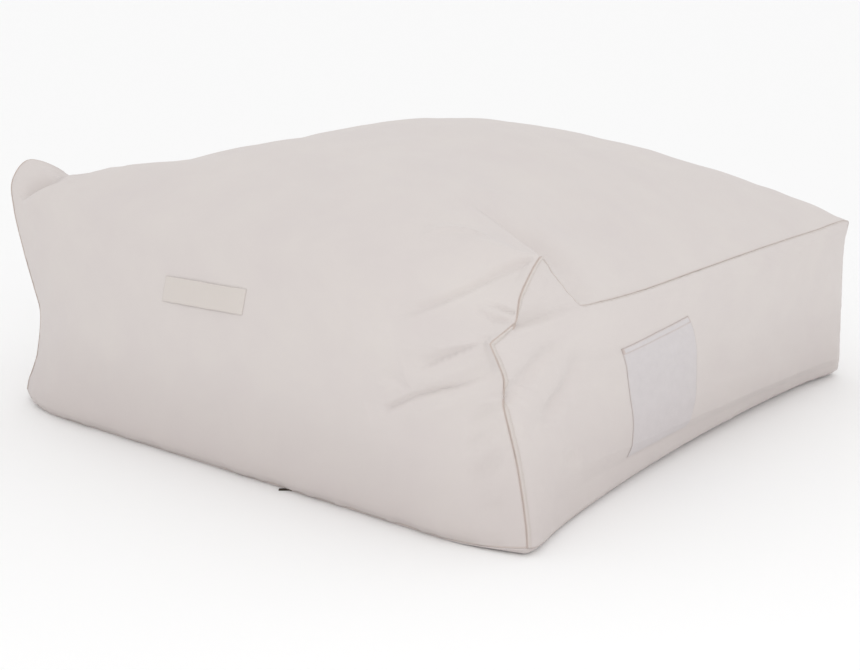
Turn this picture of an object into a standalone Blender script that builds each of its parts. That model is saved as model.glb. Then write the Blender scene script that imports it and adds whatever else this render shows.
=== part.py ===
"""Two-seat pouf: a low, wide, filled floor seat of plain cotton canvas.

One long panel wraps over the front, the seat and the back, and its filling makes it one soft solid. A shaped
panel closes each end, a base panel lies on the floor, and raised seams run round the ends. At the front the
ends are cut higher, and the slack cloth there stands up as an ear above a slumped fold.

Metres, +Z up. The origin is on the floor, under the middle. +X is the long side's right-hand end, and the
front, with the handle, faces -Y.
"""

import math
from collections import namedtuple

import bmesh
import bpy
import numpy as np
from mathutils import Vector
from mathutils.bvhtree import BVHTree

# Driving sizes
LENGTH = 1.300
DEPTH = 1.222
SEAT_HEIGHT = 0.360
CROWN_HEIGHT = 0.578
HALF_LENGTH = LENGTH / 2
HALF_DEPTH = DEPTH / 2

# Cloth and clearances
CLOTH = 0.0020
GAP = 0.0003
FLOOR_RIM = 0.022

# How many pieces the front, and likewise the back, and the top of an end's outline are cut into
FRONT_STEPS = 22
TOP_STEPS = 18

# One row for each named place round an end's outline, from the base seam up the front, over the top and down
# the back. forward: share of half the depth (negative is the front). up: share of the seat height. inset: how
# far the seam lies inside the full length. steps: pieces up to the next row.
Seam = namedtuple("Seam", "name forward up inset")
RIGHT_SEAM = [
    Seam("base_front", -1.052, 0.056, -0.022),
    Seam("shin", -1.023, 0.397, 0.017),
    Seam("belly", -1.056, 0.720, 0.034),
    Seam("shoulder", -1.097, 0.985, 0.040),
    Seam("tuck", -0.998, 1.040, 0.040),
    Seam("neck", -0.942, 1.145, 0.056),
    Seam("ear_tip", -0.825, 1.275, 0.064),
    Seam("ear_back", -0.740, 1.186, 0.065),
    Seam("dip", -0.687, 1.008, 0.030),
    Seam("seat_front", -0.592, 1.003, 0.025),
    Seam("seat_low", -0.414, 0.997, 0.020),
    Seam("seat_middle", -0.072, 1.000, 0.015),
    Seam("seat_far", 0.318, 1.000, 0.010),
    Seam("seat_back", 0.700, 0.995, 0.003),
    Seam("back_corner", 0.995, 0.975, 0.001),
    Seam("back_high", 0.994, 0.820, 0.005),
    Seam("back_middle", 1.000, 0.480, 0.006),
    Seam("base_back", 1.004, 0.036, -0.006),
]
LEFT_SEAM = [
    Seam("base_front", -1.030, 0.050, 0.008),
    Seam("shin", -1.010, 0.270, 0.043),
    Seam("belly", -1.025, 0.560, 0.084),
    Seam("shoulder", -1.040, 0.900, 0.054),
    Seam("tuck", -1.025, 1.150, 0.014),
    Seam("neck", -1.000, 1.300, 0.000),
    Seam("ear_tip", -0.955, 1.412, 0.018),
    Seam("ear_back", -0.860, 1.310, 0.045),
    Seam("dip", -0.735, 1.050, 0.035),
    Seam("seat_front", -0.620, 1.000, 0.025),
    Seam("seat_low", -0.414, 0.997, 0.020),
    Seam("seat_middle", -0.072, 1.000, 0.015),
    Seam("seat_far", 0.318, 1.000, 0.010),
    Seam("seat_back", 0.700, 0.995, 0.003),
    Seam("back_corner", 0.995, 0.975, 0.001),
    Seam("back_high", 0.994, 0.820, 0.005),
    Seam("back_middle", 1.000, 0.480, 0.006),
    Seam("base_back", 1.004, 0.036, -0.006),
]
# The same places on the middle of the wrap. rise: share of the crown height. reach: how far in from the end
# seam the cloth needs to fill out to this outline. steps: pieces up to the next row.
Middle = namedtuple("Middle", "name forward rise reach steps")
MIDDLE = [
    Middle("base_front", -1.100, 0.024, 0.20, 2),
    Middle("shin", -1.138, 0.190, 0.25, 3),
    Middle("belly", -1.150, 0.370, 0.30, 5),
    Middle("shoulder", -1.130, 0.540, 0.35, 3),
    Middle("tuck", -1.100, 0.650, 0.40, 4),
    Middle("neck", -1.045, 0.765, 0.45, 5),
    Middle("ear_tip", -0.920, 0.858, 0.50, 2),
    Middle("ear_back", -0.800, 0.911, 0.50, 2),
    Middle("dip", -0.680, 0.943, 0.52, 2),
    Middle("seat_front", -0.530, 0.968, 0.56, 2),
    Middle("seat_low", -0.330, 0.990, 0.60, 2),
    Middle("seat_middle", 0.000, 1.000, 0.62, 3),
    Middle("seat_far", 0.350, 0.962, 0.60, 3),
    Middle("seat_back", 0.700, 0.875, 0.52, 2),
    Middle("back_corner", 0.990, 0.705, 0.42, 5),
    Middle("back_high", 1.070, 0.540, 0.35, 7),
    Middle("back_middle", 1.110, 0.300, 0.30, 10),
    Middle("base_back", 1.070, 0.024, 0.25, 0),
]

# The base edge of each end is drawn in between its corners and flares a little at them, where it also stands
# higher. The end panel bellies out above it.
BASE_DRAW_IN = 0.042
BASE_FLARE = 0.016
BASE_CORNER_SHARE = 0.025
BASE_SEAM_HEIGHT = 0.010

# Fullness: how quickly the cloth swells out between its seams. A higher end fullness is more peaked, and a
# higher wrap fullness swells sooner.
END_BULGE, END_FULLNESS = 0.050, 0.55
WRAP_FULLNESS = 2.2

# Distances in from an end seam at which the wrap is cut, closest where it turns most
STATIONS = [0.0, 0.012, 0.030, 0.055, 0.085, 0.120, 0.160, 0.210, 0.270, 0.340, 0.420, 0.530]
# Shares across the base, front to back, at which it is cut
BASE_EDGE_SHARES = [0.012, 0.030, 0.065]

# Soft troughs in the cloth, each from its deep start to where it fades out. Points are in metres. A fold's
# depth is reached only this far from the seam, or this share of the end panel from its edges.
FOLD_HOLD, FOLD_HOLD_SHARE, FOLD_FADE = 0.020, 0.125, 0.6
Fold = namedtuple("Fold", "name start end depth width")
WRAP_FOLDS = [
    Fold("under_shoulder", (0.603, -0.665, 0.353), (0.450, -0.690, 0.285), 0.028, 0.018),
    Fold("below_shoulder", (0.617, -0.662, 0.319), (0.380, -0.700, 0.200), 0.021, 0.018),
    Fold("ear_to_face", (0.565, -0.545, 0.435), (0.340, -0.685, 0.335), 0.016, 0.024),
    Fold("behind_ear", (0.600, -0.410, 0.380), (0.350, -0.330, 0.500), 0.014, 0.035),
    Fold("left_ear_hollow", (-0.610, -0.565, 0.495), (-0.480, -0.520, 0.480), 0.034, 0.032),
    Fold("left_of_dome", (-0.580, -0.560, 0.485), (-0.400, -0.560, 0.515), 0.014, 0.050),
]
END_FOLDS = [
    Fold("tuck_to_dip", (0.612, -0.613, 0.371), (0.625, -0.400, 0.365), 0.018, 0.018),
    Fold("upper_drag", (0.630, -0.630, 0.262), (0.648, -0.380, 0.335), 0.009, 0.018),
    Fold("lower_drag", (0.640, -0.620, 0.192), (0.655, -0.330, 0.300), 0.008, 0.020),
    Fold("left_tuck", (-0.630, -0.620, 0.390), (-0.630, -0.420, 0.365), 0.016, 0.020),
]

# The handle: a strap sewn down at both ends, across the front. The pocket: a patch of finer cloth on the
# right-hand end with a deep hem along its open top. Both follow the cloth behind them.
HANDLE_WIDTH, HANDLE_HEIGHT, HANDLE_THICKNESS = 0.207, 0.045, 0.0026
HANDLE_X, HANDLE_Z, HANDLE_RISE = -0.024, 0.336, 0.006
HANDLE_SLACK = 0.0030
POCKET_WIDTH, POCKET_HEIGHT, POCKET_THICKNESS = 0.228, 0.235, 0.0012
POCKET_Y, POCKET_Z, POCKET_HEM, HEM_THICKNESS = -0.215, 0.1745, 0.017, 0.0026
POCKET_SKEW, POCKET_BOW = 0.055, 0.025

# What is sewn on lies this far off the cloth. Each of its points rests on the highest of a few spots round it,
# out to this share of a cell.
SEWN_GAP = 0.0003
LAID_SPOTS = 5
LAID_REACH = 0.5

# The seam round each end is folded over onto the end panel as a raised band, wide at the front corner and
# narrow along the seat. It starts this far inside the panel's edge, and clears the panel's bends.
WELT_FRONT, WELT_SEAT, WELT_INSET, WELT_GAP = 0.010, 0.0055, 0.0010, 0.0009

# The zip under the front edge shows only its slider and pull.
SLIDER = (0.009, 0.011, 0.0045)
PULL = (0.022, 0.007, 0.0016)
ZIP_X, ZIP_INSIDE, ZIP_TURN = 0.168, 0.0045, math.radians(218)


def smooth_line(points, steps):
    """Points on a smooth curve through the given ones, with steps[i] pieces from point i to the next."""
    points = np.array(points, float)
    lengths = np.sqrt(np.linalg.norm(np.diff(points, axis=0), axis=1))
    at = np.concatenate([[0.0], np.cumsum(lengths)])
    slopes = np.gradient(points, at, axis=0)
    line = []
    for i, count in enumerate(steps):
        span = at[i + 1] - at[i]
        for t in np.arange(count) / count:
            line.append(
                points[i] * (2 * t**3 - 3 * t**2 + 1)
                + slopes[i] * span * (t**3 - 2 * t**2 + t)
                + points[i + 1] * (3 * t**2 - 2 * t**3)
                + slopes[i + 1] * span * (t**3 - t**2)
            )
    line.append(points[-1])
    return np.array(line)


STEPS = [row.steps for row in MIDDLE[:-1]]
SIDE_ROWS = FRONT_STEPS + TOP_STEPS + FRONT_STEPS + 1


def base_shares():
    """Shares across the base from front to back, close together near its edges."""
    inner = np.linspace(BASE_EDGE_SHARES[-1], 1 - BASE_EDGE_SHARES[-1], TOP_STEPS - 5)
    far_edge = 1 - np.array(BASE_EDGE_SHARES[-2::-1])
    return np.concatenate([[0.0], BASE_EDGE_SHARES[:-1], inner, far_edge, [1.0]])


def run_shares(edge):
    """How far along its own length each point of an edge lies, 0 to 1."""
    run = np.concatenate([[0.0], np.cumsum(np.linalg.norm(np.diff(edge, axis=0), axis=1))])
    return run / run[-1]


def end_outline(side, rows):
    """The seam round an end, a closed ring of points: up the front, over, down the back, along the base."""
    places = [
        (side * (HALF_LENGTH - row.inset), row.forward * HALF_DEPTH, row.up * SEAT_HEIGHT) for row in rows
    ]
    edge = smooth_line(places, STEPS)
    shares = base_shares()[1:-1][::-1]
    front, back = edge[0], edge[-1]
    base = front + (back - front) * shares[:, None]
    from_corner = np.minimum(shares, 1 - shares) / BASE_CORNER_SHARE
    base[:, 0] -= side * BASE_DRAW_IN * np.sin(math.pi * shares)
    base[:, 0] += side * BASE_FLARE * from_corner * np.exp(1 - from_corner)
    base[:, 2] = BASE_SEAM_HEIGHT + (base[:, 2] - BASE_SEAM_HEIGHT) * np.exp(-from_corner)
    return np.concatenate([edge, base])


def middle_outline():
    """The wrap's outline halfway along, and how far in from the end each point of it needs to fill out."""
    places = [(row.forward * HALF_DEPTH, row.rise * CROWN_HEIGHT, row.reach) for row in MIDDLE]
    edge = smooth_line(places, STEPS)
    shares = base_shares()[1:-1][::-1]
    base = edge[0] + (edge[-1] - edge[0]) * shares[:, None]
    return np.concatenate([edge, base])


def pressed(points, normals, folds, hold):
    """Points moved in where folds run, each along the normal at its middle. hold, 0 to 1, keeps the seams."""
    moved = points.copy()
    for fold in folds:
        start, end = np.array(fold.start), np.array(fold.end)
        run = end - start
        along = np.clip((points - start) @ run / (run @ run), 0.0, 1.0)
        away = np.linalg.norm(points - start - along[..., None] * run, axis=-1)
        depth = fold.depth * (1.0 - along) ** FOLD_FADE * np.exp(-((away / fold.width) ** 2)) * hold
        middle = np.linalg.norm(points - (start + end) / 2, axis=-1)
        inward = -normals[np.unravel_index(middle.argmin(), middle.shape)]
        moved += inward * depth[..., None]
    return moved


def grid_normals(grid):
    """Unit normals of a grid of points."""
    normals = np.cross(np.gradient(grid, axis=0), np.gradient(grid, axis=1))
    return normals / np.linalg.norm(normals, axis=-1, keepdims=True)


def station_shares():
    """Stations along the wrap from the left end, -1, to the right end, 1."""
    right = [1.0 - d / HALF_LENGTH for d in STATIONS]
    return np.array([-s for s in right] + [0.0] + right[::-1])


def flatten_underside(grid):
    """Lays the underside a cloth's thickness above the floor. Only its rim curves up to the base seam."""
    flat = CLOTH + GAP
    for j in range(SIDE_ROWS, grid.shape[1]):
        for i in range(grid.shape[0]):
            x, y, seam = grid[i, j]
            in_x = min(grid[-1, j, 0] - x, x - grid[0, j, 0])
            in_y = min(y - grid[i, 0, 1], grid[i, SIDE_ROWS - 1, 1] - y)
            rim = max(0.0, 1.0 - min(in_x, in_y) / FLOOR_RIM) ** 2
            grid[i, j, 2] = flat + (seam - flat) * rim
    return grid


def wrap_grid():
    """The filled wrap's surface, as stations along X by points round the outline."""
    middle = middle_outline()
    pull = CLOTH + GAP
    rings = {side: end_outline(side, rows) for side, rows in ((1, RIGHT_SEAM), (-1, LEFT_SEAM))}
    grid = []
    for share in station_shares():
        side = 1 if share > 0 else -1
        seam = rings[side] - np.array([side * pull, 0.0, 0.0])
        depth = (1.0 - abs(share)) * HALF_LENGTH
        filled = 1.0 - (1.0 - np.clip(depth / middle[:, 2], 0.0, 1.0)) ** WRAP_FULLNESS
        ring = seam.copy()
        ring[:, 0] *= abs(share)
        ring[:, 1:] += (middle[:, :2] - seam[:, 1:]) * filled[:, None]
        grid.append(ring)
    grid = np.array(grid)
    depths = (1.0 - np.abs(station_shares())) * HALF_LENGTH
    hold = np.clip(depths / FOLD_HOLD, 0.0, 1.0)[:, None] * np.ones(grid.shape[1])
    hold[:, SIDE_ROWS - 1 :] = 0.0
    hold[:, 0] = 0.0
    grid = pressed(grid, grid_normals(grid), WRAP_FOLDS, hold)
    return flatten_underside(grid)


def end_grid(side, rows):
    """An end panel's outer surface: a patch between its four edges, bellied out between them."""
    ring = end_outline(side, rows)
    front = ring[: FRONT_STEPS + 1]
    top = ring[FRONT_STEPS : FRONT_STEPS + TOP_STEPS + 1]
    back = ring[FRONT_STEPS + TOP_STEPS : SIDE_ROWS][::-1]
    base = np.concatenate([ring[SIDE_ROWS - 1 :], ring[:1]])[::-1]
    u = (run_shares(top) + run_shares(base))[:, None, None] / 2
    v = (run_shares(front) + run_shares(back))[None, :, None] / 2
    patch = (1 - u) * front[None] + u * back[None] + (1 - v) * base[:, None] + v * top[:, None]
    patch -= (1 - u) * (1 - v) * front[0] + (1 - u) * v * front[-1] + u * (1 - v) * back[0] + u * v * back[-1]
    belly = (16 * u * (1 - u) * v * (1 - v)) ** END_FULLNESS
    patch[..., 0] += side * END_BULGE * belly[..., 0]
    from_edge = np.minimum(np.minimum(u, 1 - u), np.minimum(v, 1 - v))[..., 0]
    hold = np.clip(from_edge / FOLD_HOLD_SHARE, 0.0, 1.0)
    outward = np.zeros_like(patch)
    outward[..., 0] = side
    return pressed(patch, outward, END_FOLDS, hold)


def material(name, colour, roughness, metallic=0.0):
    """A plain finish."""
    made = bpy.data.materials.new(name)
    made.use_nodes = True
    shader = made.node_tree.nodes["Principled BSDF"]
    shader.inputs["Base Color"].default_value = (*colour, 1.0)
    shader.inputs["Roughness"].default_value = roughness
    shader.inputs["Metallic"].default_value = metallic
    return made


def add_object(name, points, faces, finish):
    """A mesh object from points and faces, with shared points joined and its normals facing out."""
    mesh = bpy.data.meshes.new(name)
    mesh.from_pydata([tuple(p) for p in points], [], faces)
    work = bmesh.new()
    work.from_mesh(mesh)
    bmesh.ops.remove_doubles(work, verts=work.verts, dist=1e-6)
    bmesh.ops.recalc_face_normals(work, faces=work.faces)
    work.to_mesh(mesh)
    work.free()
    mesh.materials.append(finish)
    mesh.shade_smooth()
    mesh.set_sharp_from_angle(angle=math.radians(35))
    piece = bpy.data.objects.new(name, mesh)
    bpy.context.scene.collection.objects.link(piece)
    return piece


def cells(rows, columns, first=0, ring=False):
    """Triangles of a grid whose points are numbered row by row from first. A ring's columns close on themselves.

    Every cell is cut along the same diagonal, so that two sheets with a small gap stay apart all over.
    """
    faces = []
    for i in range(rows - 1):
        for j in range(columns if ring else columns - 1):
            here, above = first + i * columns, first + (i + 1) * columns
            k = (j + 1) % columns
            faces.append((here + j, above + j, above + k))
            faces.append((here + j, above + k, here + k))
    return faces


def sheet(name, outer, inner, finish):
    """A closed sheet between two grids of the same size."""
    rows, columns = outer.shape[:2]
    count = rows * columns
    faces = cells(rows, columns) + [face[::-1] for face in cells(rows, columns, first=count)]
    rim = [(0, j) for j in range(columns)] + [(i, columns - 1) for i in range(1, rows)]
    rim += [(rows - 1, j) for j in range(columns - 2, -1, -1)] + [(i, 0) for i in range(rows - 2, 0, -1)]
    numbers = [i * columns + j for i, j in rim]
    for a, b in zip(numbers, numbers[1:] + numbers[:1]):
        faces.append((a, b, b + count, a + count))
    return add_object(name, np.concatenate([outer.reshape(-1, 3), inner.reshape(-1, 3)]), faces, finish)


def add_body(grid, ends, finish):
    """The wrap with its filling: one solid, closed at both ends just inside the end panels."""
    stations, around = grid.shape[:2]
    points = [grid.reshape(-1, 3)]
    faces = cells(stations, around, ring=True)
    first = stations * around
    for side, panel in ends.items():
        inside = panel - np.array([side * (CLOTH + GAP), 0.0, 0.0])
        points.append(inside.reshape(-1, 3))
        faces += cells(*inside.shape[:2], first=first)
        first += inside.shape[0] * inside.shape[1]
    return add_object("body", np.concatenate(points), faces, finish)


def add_end_panel(name, side, panel, finish):
    """A shaped panel closing one end, a cloth's thickness deep."""
    return sheet(name, panel, panel - np.array([side * CLOTH, 0.0, 0.0]), finish)


def add_base_panel(grid, finish):
    """The panel on the floor, flat but for the rim that turns up to the base seam."""
    rows = list(range(SIDE_ROWS - 1, grid.shape[1])) + [0]
    top = grid[:, rows] - np.array([0.0, 0.0, GAP])
    bottom = top - np.array([0.0, 0.0, CLOTH])
    bottom[..., 2] = np.where(bottom[..., 2] < 1e-5, 0.0, bottom[..., 2])
    return sheet("base_panel", top, bottom, finish)


def laid_on(target, starts, direction):
    """A grid of points moved one way onto a piece. Each rests on the highest spot close round it."""
    tree = BVHTree.FromObject(target, bpy.context.evaluated_depsgraph_get())
    along, up = np.gradient(starts, axis=0), np.gradient(starts, axis=1)
    nearest = np.full(starts.shape[:2], np.inf)
    for a, b in np.ndindex(LAID_SPOTS, LAID_SPOTS):
        across, over = LAID_REACH * np.array([2 * a / (LAID_SPOTS - 1) - 1, 2 * b / (LAID_SPOTS - 1) - 1])
        near = starts + along * across + up * over
        for i, j in np.ndindex(starts.shape[:2]):
            distance = tree.ray_cast(Vector(near[i, j]), Vector(direction))[3]
            nearest[i, j] = min(nearest[i, j], distance or np.inf)
    return starts + np.array(direction) * nearest[..., None]


def add_welt(name, side, rows, panel, finish):
    """The raised seam band round an end. It lies on the end panel, up the front, over the top and down the back."""
    edge = end_outline(side, rows)[:SIDE_ROWS]
    inward = np.cross(np.gradient(edge, axis=0), np.array([1.0, 0.0, 0.0]))
    inward /= np.linalg.norm(inward, axis=1, keepdims=True)
    wide = np.full(SIDE_ROWS, WELT_SEAT)
    wide[: FRONT_STEPS + 3] = WELT_FRONT
    wide[FRONT_STEPS + 3] = (WELT_FRONT + WELT_SEAT) / 2
    wide = WELT_INSET + wide[:, None] * np.linspace(0.0, 1.0, 3)
    starts = edge[:, None] + inward[:, None] * wide[..., None]
    starts[..., 0] = side * LENGTH
    under = laid_on(panel, starts, (-side, 0.0, 0.0)) + np.array([side * WELT_GAP, 0.0, 0.0])
    return sheet(name, under + np.array([side * CLOTH, 0.0, 0.0]), under, finish)


def add_handle(body, finish):
    """A flat strap across the front, sewn down at its ends and a little slack between them."""
    across = np.linspace(-0.5, 0.5, 25)[:, None]
    up = np.linspace(-0.5, 0.5, 9)[None, :]
    x = HANDLE_X + across * HANDLE_WIDTH + 0 * up
    z = HANDLE_Z + up * HANDLE_HEIGHT + across * HANDLE_RISE
    starts = np.stack([x, np.full_like(x, -DEPTH), z], axis=-1)
    behind = laid_on(body, starts, (0.0, 1.0, 0.0))
    slack = HANDLE_SLACK * np.clip(1 - (2 * across) ** 4, 0.0, 1.0) + 0 * up
    behind[..., 1] -= SEWN_GAP + slack
    front = behind - np.array([0.0, HANDLE_THICKNESS, 0.0])
    return sheet("handle", front, behind, finish)


def add_pocket(panel, finish):
    """A patch pocket of finer cloth on the right-hand end. Its hem is folded over, so it is thicker there."""
    across = np.linspace(-0.5, 0.5, 17)[:, None]
    hem = POCKET_HEM / POCKET_HEIGHT
    up = np.concatenate([np.linspace(-0.5, 0.5 - hem - 0.01, 15), [0.5 - hem, 0.5]])[None, :]
    y = POCKET_Y + across * POCKET_WIDTH - up * POCKET_SKEW + (across + 0.5) * (1 - 4 * up**2) * POCKET_BOW
    z = POCKET_Z + up * POCKET_HEIGHT + 0 * across
    starts = np.stack([np.full_like(y, LENGTH), y, z], axis=-1)
    behind = laid_on(panel, starts, (-1.0, 0.0, 0.0)) + np.array([SEWN_GAP, 0.0, 0.0])
    front = behind.copy()
    front[..., 0] += np.where(up > 0.5 - hem - 0.001, HEM_THICKNESS, POCKET_THICKNESS)
    return sheet("side_pocket", front, behind, finish)


def add_zip_pull(grid, finish):
    """The slider, just inside the front edge of the base, with its pull lying on the floor."""
    station = np.abs(grid[:, 0, 0] - ZIP_X).argmin()
    y = grid[station, 0, 1] + ZIP_INSIDE
    width, run, height = SLIDER
    bpy.ops.mesh.primitive_cube_add(size=1.0, location=(ZIP_X, y, GAP + height / 2))
    slider = bpy.context.active_object
    slider.name = "zip_pull"
    slider.scale = (width, run, height)
    length, breadth, thick = PULL
    out = Vector((math.cos(ZIP_TURN), math.sin(ZIP_TURN), 0.0))
    place = Vector((ZIP_X, y, GAP + thick / 2)) + out * (length / 2)
    bpy.ops.mesh.primitive_cube_add(size=1.0, location=place, rotation=(0.0, 0.0, ZIP_TURN))
    pull = bpy.context.active_object
    pull.name = "zip_pull_blank"
    pull.scale = (length, breadth, thick)
    pull.hide_render = True
    pull.display_type = "WIRE"
    join = slider.modifiers.new("join", "BOOLEAN")
    join.operation = "UNION"
    join.object = pull
    slider.data.materials.append(finish)
    return slider


def build():
    for old in list(bpy.data.objects):
        bpy.data.objects.remove(old, do_unlink=True)
    canvas = material("canvas", (0.68, 0.63, 0.61), 0.9)
    fine_cloth = material("fine_cloth", (0.60, 0.57, 0.57), 0.85)
    zip_metal = material("zip_metal", (0.08, 0.08, 0.09), 0.4, metallic=0.8)
    ends = {1: end_grid(1, RIGHT_SEAM), -1: end_grid(-1, LEFT_SEAM)}
    grid = wrap_grid()
    body = add_body(grid, ends, canvas)
    right = add_end_panel("end_panel_right", 1, ends[1], canvas)
    left = add_end_panel("end_panel_left", -1, ends[-1], canvas)
    add_base_panel(grid, canvas)
    add_welt("seam_welt_right", 1, RIGHT_SEAM, right, canvas)
    add_welt("seam_welt_left", -1, LEFT_SEAM, left, canvas)
    add_handle(body, canvas)
    add_pocket(right, fine_cloth)
    add_zip_pull(grid, zip_metal)


build()
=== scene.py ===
"""The looks of the two-seat pouf: cotton canvas over a soft filling, in its own studio.

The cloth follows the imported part's outlines at a finer step, so every piece lies within 20 mm of where its
solid does. Creases, puckered seams, stitching and the small fittings are added here. Metres, +Z up, in the
part's own frame: +X is the right-hand end, and the front, with the handle, faces -Y.
"""

import math
from collections import namedtuple

import bmesh
import bpy
import numpy as np
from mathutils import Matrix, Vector
from mathutils.bvhtree import BVHTree
from numpy.linalg import norm

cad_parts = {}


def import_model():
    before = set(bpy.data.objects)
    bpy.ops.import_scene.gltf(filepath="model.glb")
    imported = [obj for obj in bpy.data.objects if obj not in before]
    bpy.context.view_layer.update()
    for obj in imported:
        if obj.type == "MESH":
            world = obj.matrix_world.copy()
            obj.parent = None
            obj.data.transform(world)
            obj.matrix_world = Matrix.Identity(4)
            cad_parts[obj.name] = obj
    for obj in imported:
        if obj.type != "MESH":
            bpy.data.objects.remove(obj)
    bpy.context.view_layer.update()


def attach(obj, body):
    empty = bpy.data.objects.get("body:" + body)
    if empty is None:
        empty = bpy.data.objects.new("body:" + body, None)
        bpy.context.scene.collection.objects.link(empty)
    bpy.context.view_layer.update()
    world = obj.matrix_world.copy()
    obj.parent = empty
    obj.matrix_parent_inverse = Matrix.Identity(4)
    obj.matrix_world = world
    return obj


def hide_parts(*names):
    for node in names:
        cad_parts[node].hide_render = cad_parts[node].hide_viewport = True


# Driving sizes, as the part has them
LENGTH = 1.300
DEPTH = 1.222
SEAT_HEIGHT = 0.360
CROWN_HEIGHT = 0.578
HALF_LENGTH = LENGTH / 2
HALF_DEPTH = DEPTH / 2

# Cloth thickness, the clearance between cloths, and how wide a rim of the underside lifts off the floor
CLOTH = 0.0020
GAP = 0.0003
FLOOR_RIM = 0.022

# One row for each named place round an end's outline, from the base seam up the front, over the top and down
# the back. forward: share of half the depth (negative is the front). up: share of the seat height. inset: how
# far the seam lies inside the full length. turn: 1 where the seam runs on smoothly, less at a sharp corner.
Seam = namedtuple("Seam", "name forward up inset turn", defaults=[1.0])
SEAT_AND_BACK = [
    Seam("seat_middle", -0.072, 1.000, 0.015),
    Seam("seat_far", 0.318, 1.000, 0.010),
    Seam("seat_back", 0.700, 0.995, 0.003),
    Seam("back_corner", 0.995, 0.975, 0.001, 0.6),
    Seam("back_high", 0.990, 0.840, 0.007, 0.8),
    Seam("back_middle", 1.000, 0.480, 0.006),
]
RIGHT_SEAM = [
    Seam("base_front", -1.062, 0.050, -0.022),
    Seam("foot", -1.050, 0.135, -0.014),
    Seam("shin", -1.023, 0.397, 0.017),
    Seam("knee", -1.046, 0.680, 0.036, 0.4),
    Seam("belly", -1.066, 0.820, 0.028, 0.8),
    Seam("shoulder", -1.100, 0.985, 0.040, 0.25),
    Seam("tuck", -0.995, 1.050, 0.036, 0.4),
    Seam("neck", -0.946, 1.145, 0.049, 0.9),
    Seam("ear_tip", -0.820, 1.280, 0.062, 0.6),
    Seam("ear_back", -0.762, 1.180, 0.062),
    Seam("dip", -0.712, 1.030, 0.030, 0.5),
    Seam("seat_front", -0.600, 1.010, 0.025),
    Seam("seat_low", -0.414, 0.999, 0.020),
    *SEAT_AND_BACK,
    Seam("base_back", 1.000, 0.036, 0.004),
]
LEFT_SEAM = [
    Seam("base_front", -1.030, 0.050, 0.002),
    Seam("foot", -1.026, 0.105, 0.006),
    Seam("shin", -1.010, 0.270, 0.028),
    Seam("knee", -1.025, 0.560, 0.063, 0.7),
    Seam("belly", -1.034, 0.730, 0.052),
    Seam("shoulder", -1.040, 0.900, 0.036),
    Seam("tuck", -1.025, 1.150, -0.001),
    Seam("neck", -1.000, 1.300, -0.019),
    Seam("ear_tip", -0.955, 1.412, 0.003),
    Seam("ear_back", -0.860, 1.335, 0.040, 0.8),
    Seam("dip", -0.735, 1.050, 0.035, 0.8),
    Seam("seat_front", -0.620, 1.000, 0.025),
    Seam("seat_low", -0.414, 0.997, 0.020),
    *SEAT_AND_BACK,
    Seam("base_back", 1.004, 0.036, -0.006),
]
# The same places on the middle of the wrap. rise: share of the crown height. reach: how far in from the end
# seam the cloth needs to fill out to this outline. steps: pieces up to the next row.
Middle = namedtuple("Middle", "name forward rise reach steps")
MIDDLE = [
    Middle("base_front", -1.100, 0.005, 0.17, 8),
    Middle("foot", -1.127, 0.042, 0.18, 6),
    Middle("shin", -1.142, 0.190, 0.25, 14),
    Middle("knee", -1.150, 0.370, 0.30, 18),
    Middle("belly", -1.145, 0.455, 0.33, 16),
    Middle("shoulder", -1.130, 0.540, 0.35, 20),
    Middle("tuck", -1.100, 0.650, 0.40, 18),
    Middle("neck", -1.045, 0.765, 0.45, 24),
    Middle("ear_tip", -0.920, 0.858, 0.50, 10),
    Middle("ear_back", -0.800, 0.911, 0.50, 12),
    Middle("dip", -0.680, 0.943, 0.52, 12),
    Middle("seat_front", -0.530, 0.968, 0.56, 12),
    Middle("seat_low", -0.330, 0.992, 0.67, 14),
    Middle("seat_middle", 0.000, 1.006, 0.68, 18),
    Middle("seat_far", 0.350, 0.968, 0.68, 18),
    Middle("seat_back", 0.700, 0.868, 0.58, 12),
    Middle("back_corner", 0.990, 0.705, 0.42, 24),
    Middle("back_high", 1.070, 0.540, 0.35, 40),
    Middle("back_middle", 1.110, 0.300, 0.30, 60),
    Middle("base_back", 1.070, 0.024, 0.25, 0),
]
STEPS = [row.steps for row in MIDDLE[:-1]]
# An end panel's corners: where its front edge meets its top, and its top its back edge
PLACES = [row.name for row in MIDDLE]
FRONT_STEPS = sum(STEPS[: PLACES.index("ear_tip")])
TOP_STEPS = sum(STEPS[PLACES.index("ear_tip") : PLACES.index("back_corner")])
SIDE_ROWS = sum(STEPS) + 1

# The base seam: how far it draws in between its corners and how suddenly, its flare beside a corner, how much
# of its length a corner takes, and its height
BASE_DRAW_IN, BASE_DRAW_SHAPE, BASE_FLARE = 0.042, 0.75, 0.009
BASE_CORNER_SHARE, BASE_SEAM_HEIGHT = 0.025, 0.010

# How far an end panel bulges, how quickly it fills out from its seams and from its front seam, and how many
# times finer the right one is cut
END_BULGE, END_FULLNESS, END_FRONT_FULLNESS, END_FINER = 0.054, 0.55, 0.95, 2
# Small kinks in an end panel's seams fade over this distance into it, once smoothed this many times
KINK_REACH, KINK_ROUNDS = 0.06, 500
# How quickly the wrap fills out from its end seams
WRAP_FULLNESS = 2.2

# How the wrap is cut along its length, from its right end: up to this distance, at this spacing
Run = namedtuple("Run", "to spacing")
RUNS = [
    Run(0.006, 0.0015),
    Run(0.012, 0.003),
    Run(0.280, 0.004),
    Run(0.560, 0.008),
    Run(1.150, 0.014),
    Run(1.288, 0.005),
    Run(1.294, 0.003),
    Run(1.300, 0.0015),
]

# Folds fade in over this distance from the wrap's end seams, or this share of an end panel, and fade out
# along their length with this power
FOLD_HOLD, FOLD_HOLD_SHARE, FOLD_FADE = 0.020, 0.125, 0.6
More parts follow.
